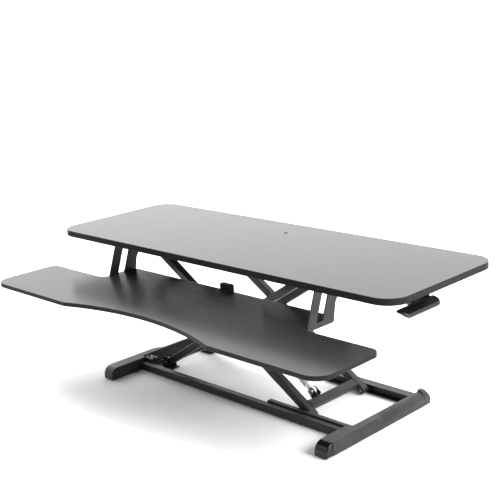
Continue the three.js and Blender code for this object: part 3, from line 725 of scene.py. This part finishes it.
def add_tracks():
    """The rollers' channels. A lower one's left end is cut off on a slant."""
    slant = Vector((-22.0, 0, 14.0)).normalized()
    for place, opens in (("front", 1), ("rear", -1)):
        for level, body in (("lower", "base"), ("upper", "work_surface")):
            node = f"{level}_track_{place}"
            low, high = box_mm(node)
            channel = slab(channel_section(low, high, opens), low.x, high.x, 0.2, SIDEWAYS)
            if level == "lower":
                channel = sliced(channel, Vector((low.x, 0, low.z)), slant)
            add_piece(f"{node}_channel", channel, body, STEEL, [node])


# Pins, arms and brackets

PIN_RADIUS = 4.0
PIN_BORE = PIN_RADIUS + 0.4
ROLLER_RADIUS = 9.0


def on_axis(mesh, low, high):
    """The mesh, drawn round the Y axis, moved across to the middle of that box."""
    spot = (low + high) / 2
    return shifted(mesh, spot.x, 0, spot.z)


def pin_mesh(node):
    """A shoulder bolt along Y: a button head in front, a washer and a hexagon nut behind."""
    head, head_thick = 7.5, 3.0
    low, high = box_mm(node)
    y0, y1 = low.y, high.y
    bolt = lathe([
        (0, y0 + 1.4), (2.6, y0 + 1.4, 6), (3.0, y0 + 0.15, 6), (4.4, y0), (6.2, y0 + 0.5),
        (head * 0.95, y0 + 1.5), (head * 0.97, y0 + head_thick), (PIN_RADIUS, y0 + head_thick),
        (PIN_RADIUS, y1 - 0.4), (PIN_RADIUS - 0.6, y1), (0, y1)])
    bore = PIN_RADIUS + 0.1
    washer = lathe([
        (bore, y1 - 3), (head - 0.1, y1 - 3), (head, y1 - 2.8), (head - 0.1, y1 - 2.3), (bore, y1 - 2.3),
        (bore, y1 - 3)])
    nut = lathe([
        (bore, y1 - 2.25), (7.2, y1 - 2.25, 6), (7.3, y1 - 1.0, 6), (6.2, y1 - 0.35), (bore, y1 - 0.3),
        (bore, y1 - 2.25)])
    return on_axis(merged(bolt, washer, nut), low, high)


def axle_mesh(node, radius=PIN_RADIUS):
    """A shaft along Y with chamfered ends and a clip's groove near its front end."""
    low, high = box_mm(node)
    y0, y1 = low.y, high.y
    groove, end = radius - 0.5, radius - 0.7
    axle = lathe([
        (0, y0), (end, y0), (radius, y0 + 0.7), (radius, y0 + 1.2), (groove, y0 + 1.3),
        (groove, y0 + 1.9), (radius, y0 + 2.0), (radius, y1 - 0.7), (end, y1), (0, y1)])
    return on_axis(axle, low, high)


def roller_mesh(node):
    """A wheel along Y, with a recessed ring in each face and a groove round its tread."""
    low, high = box_mm(node)
    y0, y1, mid = low.y, high.y, (low.y + high.y) / 2
    tread, groove = ROLLER_RADIUS, ROLLER_RADIUS - 0.4
    wheel = lathe([
        (PIN_BORE, y0), (5.8, y0), (6.1, y0 + 0.9), (7.2, y0 + 0.9), (7.5, y0), (8.2, y0),
        (tread, y0 + 0.8), (tread, mid - 0.8), (groove, mid - 0.4), (groove, mid + 0.4),
        (tread, mid + 0.8), (tread, y1 - 0.8), (8.2, y1), (7.5, y1), (7.2, y1 - 0.9), (6.1, y1 - 0.9),
        (5.8, y1), (PIN_BORE, y1), (PIN_BORE, y0)])
    return on_axis(wheel, low, high)


def add_round_parts():
    bolts = [
        ("lower_pivot_pin_front", "base", DARK_ZINC), ("lower_pivot_pin_rear", "base", DARK_ZINC),
        ("upper_pivot_pin_front", "work_surface", ZINC), ("upper_pivot_pin_rear", "work_surface", ZINC),
        ("centre_pivot_bolt_front", "inner_frame", ZINC), ("centre_pivot_bolt_rear", "inner_frame", ZINC),
        ("spring_lower_pin", "outer_frame", ZINC)]
    for node, body, material in bolts:
        add_piece(f"{node}_bolt", pin_mesh(node), body, material, [node])
    for stem, body in (("lower_roller_axle", "outer_frame"), ("upper_roller_axle", "inner_frame")):
        for place in ("front", "rear"):
            node = f"{stem}_{place}"
            add_piece(f"{node}_shaft", axle_mesh(node), body, DARK_ZINC, [node])
    for level in ("lower", "upper"):
        for place in ("front", "rear"):
            node, body = f"{level}_roller_{place}", f"{level}_wheel_{place}"
            add_piece(f"{node}_wheel", roller_mesh(node), body, NYLON, [node])


def arm_frame(start, end):
    """The matrix that lays +X from one pivot to the other in the XZ plane, and their distance."""
    along = Vector((end.x - start.x, 0, end.z - start.z))
    turn = -math.atan2(along.z, along.x)
    return Matrix.Translation((start.x, 0, start.z)) @ Matrix.Rotation(turn, 4, "Y"), along.length


INNER, SPAN = arm_frame(middle_mm("lower_pivot_pin_front"), middle_mm("upper_roller_axle_front"))
OUTER, _ = arm_frame(middle_mm("upper_pivot_pin_front"), middle_mm("lower_roller_axle_front"))
ARM_HALF = 9.0
PLUG_NOSE = 7


def arm_meshes(y0, y1):
    """A rounded box tube that stops short of both pivots, and its two moulded end plugs."""
    outline = grooved_box(y0, y1, -ARM_HALF, ARM_HALF, 2.0)
    tube = slab(outline, PLUG_NOSE, SPAN - PLUG_NOSE, 0.15, SIDEWAYS)
    ends = []
    for x, first, back in ((0, 90, ARM_HALF), (SPAN, -90, SPAN - ARM_HALF)):
        nose = arc(x, 0, ARM_HALF - 0.25, first, first + 180, 24)
        outline = [*nose, Vector((back, nose[-1].y)), Vector((back, nose[0].y))]
        ends.append(slab(outline, y0 + 0.2, y1 - 0.2, 1.4, UPRIGHT, [circle(x, 0, PIN_BORE)], 3))
    return tube, merged(*ends)


def add_arms():
    for place in ("front", "rear"):
        for kind, matrix in (("inner", INNER), ("outer", OUTER)):
            node = f"{kind}_arm_{place}"
            low, high = box_mm(node)
            tube, plugs = arm_meshes(low.y, high.y)
            body = f"{kind}_frame"
            add_piece(f"{node}_tube", moved(tube, matrix), body, STEEL, [node])
            add_piece(f"{node}_plugs", moved(plugs, matrix), body, NYLON, [node])


BAR_HALF_HIGH = 9.0
BAR_HALF_DEEP = 7.0
SPRING_BAR_HALF_DEEP = 10.0


def crossbar_mesh(node, matrix, half_deep):
    """A box tube between two arms, and the bead of weld round each of its ends."""
    low, high = box_mm(node)
    spot = matrix.inverted() @ ((low + high) / 2)
    front, back = spot.x - half_deep, spot.x + half_deep
    bottom, top = spot.z - BAR_HALF_HIGH, spot.z + BAR_HALF_HIGH
    bend = 2.2
    turned = grooved_box(bottom, top, -back, -front, bend, 3.4)
    bar = slab([Vector((-point.y, point.x)) for point in turned], low.y, high.y, 0.15, UPRIGHT)
    outline = rounded_box(front, back, bottom, top, bend, 6)
    beads = []
    for y in (low.y + 0.7, high.y - 0.7):
        ring = resampled([Vector((point.x, y, point.y)) for point in outline], 1.6)
        beads.append(weld_bead(ring, 1.1))
    return moved(bar, matrix), moved(merged(*beads), matrix)


def add_crossbars():
    """Three bars between the inner arms and two between the outer ones."""
    bars = [("inner", place, INNER, BAR_HALF_DEEP) for place in ("lower", "middle", "upper")]
    bars += [("outer", "lower", OUTER, SPRING_BAR_HALF_DEEP), ("outer", "upper", OUTER, BAR_HALF_DEEP)]
    for kind, place, matrix, half_deep in bars:
        node = f"{kind}_crossbar_{place}"
        bar, beads = crossbar_mesh(node, matrix, half_deep)
        body = f"{kind}_frame"
        add_piece(f"{node}_tube", bar, body, STEEL, [node])
        add_piece(f"{node}_welds", beads, body, STEEL)


EAR_NOSE = 11
EAR_PLATE = 2.5
EAR_CLEAR = 0.8
SHELF = {"bottom": 2, "top": 29, "sheet": 2, "reach": 22, "screw": 12}


def pivot_ear(x, nose_z, foot_half, base_z, points_up):
    """The outline of an ear, from a base line to a half circle round the given height."""
    turn = (0, 180) if points_up else (180, 360)
    nose = arc(x, nose_z, EAR_NOSE, *turn, 24)
    sides = [Vector((x - foot_half, base_z)), Vector((x + foot_half, base_z))]
    if not points_up:
        sides.reverse()
    return [*nose, *sides]


def ears_beside(arm, outline, pin):
    """An ear of that outline on each side of the arm, bored for the pin."""
    low, high = box_mm(arm)
    bore = circle(pin.x, pin.z, PIN_BORE)
    return [
        slab(outline, y, y + EAR_PLATE, 0.5, UPRIGHT, [bore])
        for y in (low.y - EAR_CLEAR - EAR_PLATE, high.y + EAR_CLEAR)]


def base_plate(low, high, z, thick):
    return slab(rounded_box(low.x, high.x, low.y, high.y, 3), z, z + thick, 0.3)


def shelf_section(web, way):
    """The folded shelf beside the lower pivots in (y, z), which reaches the given way from its web."""
    inside, tip = web + way * SHELF["sheet"], web + way * SHELF["reach"]
    under = SHELF["top"] - SHELF["sheet"]
    return rounded([
        (web, SHELF["bottom"], 0.6), (inside, SHELF["bottom"], 0.6), (inside, under, 1.0),
        (tip, under, 0.6), (tip, SHELF["top"], 0.6), (web, SHELF["top"], 3.0)], 5)


def add_lower_pivot_bracket(place):
    """Two ears on a base plate, and a screwed shelf to the left of them."""
    pin = middle_mm(f"lower_pivot_pin_{place}")
    node = f"lower_pivot_bracket_{place}"
    low, high = box_mm(node)
    ears = ears_beside(
        f"inner_arm_{place}", pivot_ear(pin.x, high.z - EAR_NOSE, 14, FOOT["bottom"], True), pin)
    web, way = (low.y, 1) if place == "front" else (high.y, -1)
    shelf = slab(shelf_section(web, way), low.x, pin.x - 18, 0.4, SIDEWAYS)
    screw_y = web + way * SHELF["screw"]
    places = [(x, screw_y, SHELF["top"]) for x in (low.x + 7, pin.x - 25)]
    cradle = merged(base_plate(low, high, low.z, 1.5), shelf, *ears)
    add_piece(f"{node}_cradle", cradle, "base", STEEL, [node])
    heads = screws_at(places, POINTS_UP, 4.2, 2.4)
    add_piece(f"{node}_screws", heads, "base", PAINT)


def add_upper_pivot_bracket(place):
    """Two ears that hang from a plate screwed under the work surface."""
    pin = middle_mm(f"upper_pivot_pin_{place}")
    node = f"upper_pivot_bracket_{place}"
    low, high = box_mm(node)
    thick = 2
    ears = ears_beside(
        f"outer_arm_{place}", pivot_ear(pin.x, pin.z, 18, DESK_LOW.z - 1.3, False), pin)
    cradle = merged(base_plate(low, high, high.z - thick, thick), *ears)
    add_piece(f"{node}_cradle", cradle, "work_surface", STEEL, [node])
    places = [(x, (low.y + high.y) / 2, high.z - thick) for x in (low.x + 5, high.x - 6)]
    heads = screws_at(places, POINTS_DOWN, 3.6, 2)
    add_piece(f"{node}_screws", heads, "work_surface", DARK_ZINC)


def add_pivot_brackets():
    for place in ("front", "rear"):
        add_lower_pivot_bracket(place)
        add_upper_pivot_bracket(place)


# Gas spring

SPRING_Y = middle_mm("gas_spring_rod").y
LOWER_EYE = middle_mm("spring_lower_pin")
EYE_RADIUS = 9.0
CLEVIS_GAP = 5.0
WELD_GAP = 0.3


def spring_frame():
    """The matrix that lays +X along the spring, from the cylinder's eye."""
    rod = middle_mm("gas_spring_rod")
    return arm_frame(LOWER_EYE, rod)[0]


def spring_length(matrix):
    """From the cylinder's eye to the rod's, which is at the upper left of the rod end's box."""
    low, high = box_mm("gas_spring_rod_end")
    return (matrix.inverted() @ Vector((low.x + EYE_RADIUS, 0, high.z - EYE_RADIUS))).x


def eye_ring(x):
    half, rim = 4.0, 1
    ring = lathe([
        (PIN_BORE, -half), (EYE_RADIUS - rim, -half), (EYE_RADIUS, -half + rim), (EYE_RADIUS, half - rim),
        (EYE_RADIUS - rim, half), (PIN_BORE, half), (PIN_BORE, -half)])
    return shifted(ring, x)


ALONG_X = Matrix.Rotation(math.radians(-90), 4, "Z")


def round_along_x(profile):
    return moved(lathe(profile), ALONG_X)


def fitting_mesh(end):
    """The cylinder's eye, a hexagon collar, and a sleeve with two rolled grooves up to that end."""
    outer, groove = 9.8, 9.3
    sleeve = round_along_x([
        (0, 8), (4.5, 8), (4.5, 11), (7.0, 11.5, 6), (7.4, 12.2, 6), (7.4, 18.2, 6), (7.0, 19, 6),
        (9.2, 19.2), (outer, 20), (outer, 46), (groove, 46.6), (groove, 48.4), (outer, 49), (outer, 84),
        (groove, 84.6), (groove, 86.4), (outer, 87), (outer, end), (0, end)])
    return merged(eye_ring(0), sleeve)


def tube_mesh(start, end):
    """The cylinder: a fine line near its start, and a rolled groove and a recessed nose at its end."""
    radius = 10
    return round_along_x([
        (0, start), (9.4, start), (radius, start + 0.7), (radius, start + 7.9), (9.7, start + 8.3),
        (radius, start + 8.7), (radius, end - 12), (9.3, end - 10.5), (9.3, end - 9), (radius, end - 7.5),
        (radius, end - 3), (8.6, end - 0.3), (8.0, end), (4.4, end), (4.4, end - 2), (0, end - 2)])


def rod_eye_mesh(tip, length):
    """A hexagon collar on the rod's tip, a neck and the eye."""
    neck = length - 5
    collar = round_along_x([
        (0, tip + 0.3), (4.0, tip + 0.3), (4.6, tip + 0.9, 6), (4.6, tip + 7, 6), (4.4, tip + 7.6),
        (4.4, neck), (0, neck)])
    return merged(collar, eye_ring(length))


def add_gas_spring():
    matrix = spring_frame()
    length = spring_length(matrix)
    fitting_end, tube_end = 90, 178
    tip = length - 15
    butt = tip - 150
    fitting, tube = fitting_mesh(fitting_end), tube_mesh(fitting_end + 0.1, tube_end)
    rod = round_along_x([(0, butt), (PIN_RADIUS, butt), (PIN_RADIUS, tip), (0, tip)])
    eye = rod_eye_mesh(tip, length)
    place = Matrix.Translation((0, SPRING_Y, 0)) @ matrix
    for mesh in (fitting, tube, rod, eye):
        moved(mesh, place)
    body, piston, cylinder = "spring_body", "spring_piston", ["gas_spring_cylinder"]
    add_piece("gas_spring_fitting", fitting, body, SILVER, cylinder)
    add_piece("gas_spring_tube", tube, body, PAINT, cylinder)
    add_piece("gas_spring_rod_shaft", rod, piston, ROD, ["gas_spring_rod"])
    add_piece("gas_spring_rod_eye", eye, piston, ZINC, ["gas_spring_rod_end"])


def clevis_mesh(outline, eye_x, eye_z, face, plate_start, half_high):
    """Two ears of that outline beside the spring's eye, on a plate against the crossbar's face."""
    bore = circle(eye_x, eye_z, PIN_BORE)
    ears = [
        slab(outline, y, y + EAR_PLATE, 0.5, UPRIGHT, [bore])
        for y in (SPRING_Y - CLEVIS_GAP - EAR_PLATE, SPRING_Y + CLEVIS_GAP)]
    half = CLEVIS_GAP + EAR_PLATE
    near, far = min(face, plate_start), max(face, plate_start)
    corners = [(near, -half_high), (far, -half_high), (far, half_high), (near, half_high)]
    plate = slab([Vector(corner) for corner in corners], SPRING_Y - half, SPRING_Y + half, 0.3, UPRIGHT)
    return merged(plate, *ears)


def add_spring_brackets():
    """The lower bracket is on the outer frame's lower crossbar, the upper on the inner's middle one."""
    from_roller, from_middle, nose_radius = 23, 35, 10
    eye = OUTER.inverted() @ LOWER_EYE
    face = SPAN - from_roller - SPRING_BAR_HALF_DEEP - WELD_GAP
    nose = arc(eye.x, eye.z, EYE_RADIUS, 90, 270, 20)
    outline = [Vector((face, -BAR_HALF_HIGH)), Vector((face, eye.z + EYE_RADIUS)), *nose]
    mesh = moved(clevis_mesh(outline, eye.x, eye.z, face, face - EAR_PLATE, BAR_HALF_HIGH), OUTER)
    node = "spring_lower_bracket"
    add_piece(f"{node}_clevis", mesh, "outer_frame", STEEL, [node])
    eye_x = SPAN / 2 + from_middle
    face = SPAN / 2 - from_middle + BAR_HALF_DEEP + WELD_GAP
    nose = arc(eye_x, 0, nose_radius, -90, 90, 20)
    outline = [Vector((face, -nose_radius)), *nose, Vector((face, nose_radius))]
    mesh = moved(clevis_mesh(outline, eye_x, 0, face, face + EAR_PLATE, nose_radius), INNER)
    node = "spring_upper_bracket"
    add_piece(f"{node}_clevis", mesh, "inner_frame", STEEL, [node])


# Release paddle

PADDLE_LOW, PADDLE_HIGH = box_mm("release_paddle")
PADDLE_PIN = middle_mm("paddle_pin")
PADDLE_PIN_RADIUS = 2.5
PADDLE_BORE = PADDLE_PIN_RADIUS + 0.4
PADDLE_DROP = 9.0
HUB_RADIUS = 5.5
HUB_FROM_FRONT, HUB_FROM_BACK = 58, 10


def paddle_outline(inset):
    """The paddle from above, moved in by the inset, with its larger corner at the back."""
    left = PADDLE_PIN.x + 9 + inset
    near, far = max(10 - inset, 1.0), max(20 - inset, 1.0)
    return rounded([
        (left, PADDLE_LOW.y + inset, 1.0), (PADDLE_HIGH.x - inset, PADDLE_LOW.y + inset, near),
        (PADDLE_HIGH.x - inset, PADDLE_HIGH.y - inset, far), (left, PADDLE_HIGH.y - inset, 1.0)], 12)


def paddle_drop(x):
    """How far the paddle's middle line has curved down at x."""
    share = max(0.0, (x - PADDLE_PIN.x) / (PADDLE_HIGH.x - PADDLE_PIN.x))
    return PADDLE_DROP * share * share


def paddle_mesh():
    """A dished plate with a raised, rounded lip, bent down towards its tip."""
    half = 3.3
    levels = [
        (7.0, -half), (1.6, -half), (0.5, -half + 0.8), (0.0, -half + 2.2), (0.0, half - 2.0),
        (0.3, half - 1.2), (0.9, half - 0.75), (3.4, half - 0.1), (4.0, half), (4.5, half - 0.3),
        (5.1, half - 1.3), (7.0, half - 1.6)]
    work, rings = loft([
        [Vector((point.x, point.y, z)) for point in paddle_outline(inset)] for inset, z in levels])
    work.faces.new(rings[0])
    work.faces.new(rings[-1])
    bmesh.ops.recalc_face_normals(work, faces=work.faces)
    bmesh.ops.triangulate(work, faces=[face for face in work.faces if len(face.verts) > 4])
    x = PADDLE_PIN.x + 11
    while x < PADDLE_HIGH.x - 1:
        geometry = work.verts[:] + work.edges[:] + work.faces[:]
        bmesh.ops.bisect_plane(work, geom=geometry, dist=0.0005, plane_co=(x, 0, 0), plane_no=(1, 0, 0))
        x += 2.5
    for vert in work.verts:
        vert.co.z += PADDLE_PIN.z - paddle_drop(vert.co.x)
    return finished(work)


def paddle_hub_mesh():
    """The barrel round the pin, and the web that joins it to the plate."""
    low, high = PADDLE_LOW.y + HUB_FROM_FRONT, PADDLE_HIGH.y - HUB_FROM_BACK
    chamfer = 0.5
    hub = lathe([
        (PADDLE_BORE, low), (HUB_RADIUS - chamfer, low), (HUB_RADIUS, low + chamfer),
        (HUB_RADIUS, high - chamfer), (HUB_RADIUS - chamfer, high), (PADDLE_BORE, high),
        (PADDLE_BORE, low)])
    x, z = PADDLE_PIN.x, PADDLE_PIN.z
    web = slab(rounded_box(x + 3.6, x + 12, z - 3, z + 2.6, 1.2, 4), low, high, 0.4, UPRIGHT)
    return merged(shifted(hub, x, 0, z), web)


def add_paddle():
    plate = merged(paddle_mesh(), paddle_hub_mesh())
    add_piece("release_paddle_plate", plate, "release_lever", GLOSS, ["release_paddle"], 45)
    low, high = box_mm("paddle_bracket")
    x, z, nose_radius, thick = PADDLE_PIN.x, PADDLE_PIN.z, 7, 2
    nose = arc(x, z, nose_radius, 180, 360, 20)
    outline = [*nose, Vector((x + nose_radius, high.z - 1)), Vector((x - 14, high.z - 1))]
    bore = circle(x, z, PADDLE_BORE)
    ears = [
        slab(outline, y, y + EAR_PLATE, 0.4, UPRIGHT, [bore]) for y in (low.y, high.y - EAR_PLATE)]
    cradle = merged(base_plate(low, high, high.z - thick, thick), *ears)
    add_piece("paddle_bracket_cradle", cradle, "work_surface", STEEL, ["paddle_bracket"])
    places = [(low.x + 6, y, high.z - thick) for y in (low.y + 12, high.y - 12)]
    heads = screws_at(places, POINTS_DOWN, 3.4, 1.8)
    add_piece("paddle_bracket_screws", heads, "work_surface", DARK_ZINC)
    shaft = axle_mesh("paddle_pin", PADDLE_PIN_RADIUS)
    add_piece("paddle_pin_shaft", shaft, "work_surface", DARK_ZINC, ["paddle_pin"])


add_desktop()
add_tray()
add_tray_brackets()
add_tray_stop()
add_feet()
add_rails()
add_tracks()
add_round_parts()
add_arms()
add_crossbars()
add_pivot_brackets()
add_gas_spring()
add_spring_brackets()
add_paddle()

# Floor and light


def add_floor():
    work = bmesh.new()
    bmesh.ops.create_grid(work, x_segments=8, y_segments=8, size=120)
    mesh = bpy.data.meshes.new("floor")
    work.to_mesh(mesh)
    work.free()
    floor = bpy.data.objects.new("floor", mesh)
    bpy.context.scene.collection.objects.link(floor)
    finish = Finish("pale_floor")
    mottle = finish.ramp(finish.noise(3, 3), 0.0, 1.0)
    finish.colour(finish.blend(mottle, grey(0.90, 1.0), grey(0.92, 1.0)))
    finish.rough(finish.ramp(finish.noise(8, 3), 0.75, 0.85))
    mesh.materials.append(finish.material)


# The studio is brightest in this direction.
WINDOW = (-0.80, 0.58, 0.30)


def add_world():
    """A studio that is brightest behind the object and to its left, and dim in front of it."""
    world = bpy.data.worlds.new("studio")
    bpy.context.scene.world = world
    world.use_nodes = True
    nodes, links = world.node_tree.nodes, world.node_tree.links
    background = nodes["Background"]
    place = nodes.new("ShaderNodeTexCoord").outputs["Generated"]
    towards = nodes.new("ShaderNodeVectorMath")
    towards.operation = "DOT_PRODUCT"
    towards.inputs[1].default_value = Vector(WINDOW).normalized()
    links.new(place, towards.inputs[0])
    behind = nodes.new("ShaderNodeMapRange")
    behind.interpolation_type = "SMOOTHSTEP"
    for name, value in (("From Min", -0.4), ("From Max", 1.0), ("To Min", 0.15), ("To Max", 2.3)):
        behind.inputs[name].default_value = value
    links.new(towards.outputs["Value"], behind.inputs["Value"])
    links.new(behind.outputs["Result"], background.inputs["Strength"])
    background.inputs["Color"].default_value = (1, 1, 1, 1)


def add_softbox(name, place, aim, wide, high, power):
    data = bpy.data.lights.new(name, "AREA")
    data.shape = "RECTANGLE"
    data.size = wide
    data.size_y = high
    data.energy = power
    light = bpy.data.objects.new(name, data)
    light.location = place
    light.rotation_mode = "QUATERNION"
    light.rotation_quaternion = (Vector(aim) - Vector(place)).to_track_quat("-Z", "Y")
    bpy.context.scene.collection.objects.link(light)


add_floor()
add_world()
add_softbox("right_softbox", (3.0, 0.6, 2.0), (0.3, 0.1, 0.1), 2.4, 1.4, 168)
add_softbox("overhead_softbox", (0.1, 0.2, 3.4), (0.0, 0.0, 0.0), 4.5, 4.5, 235)
bpy.context.scene.view_settings.view_transform = "Standard"
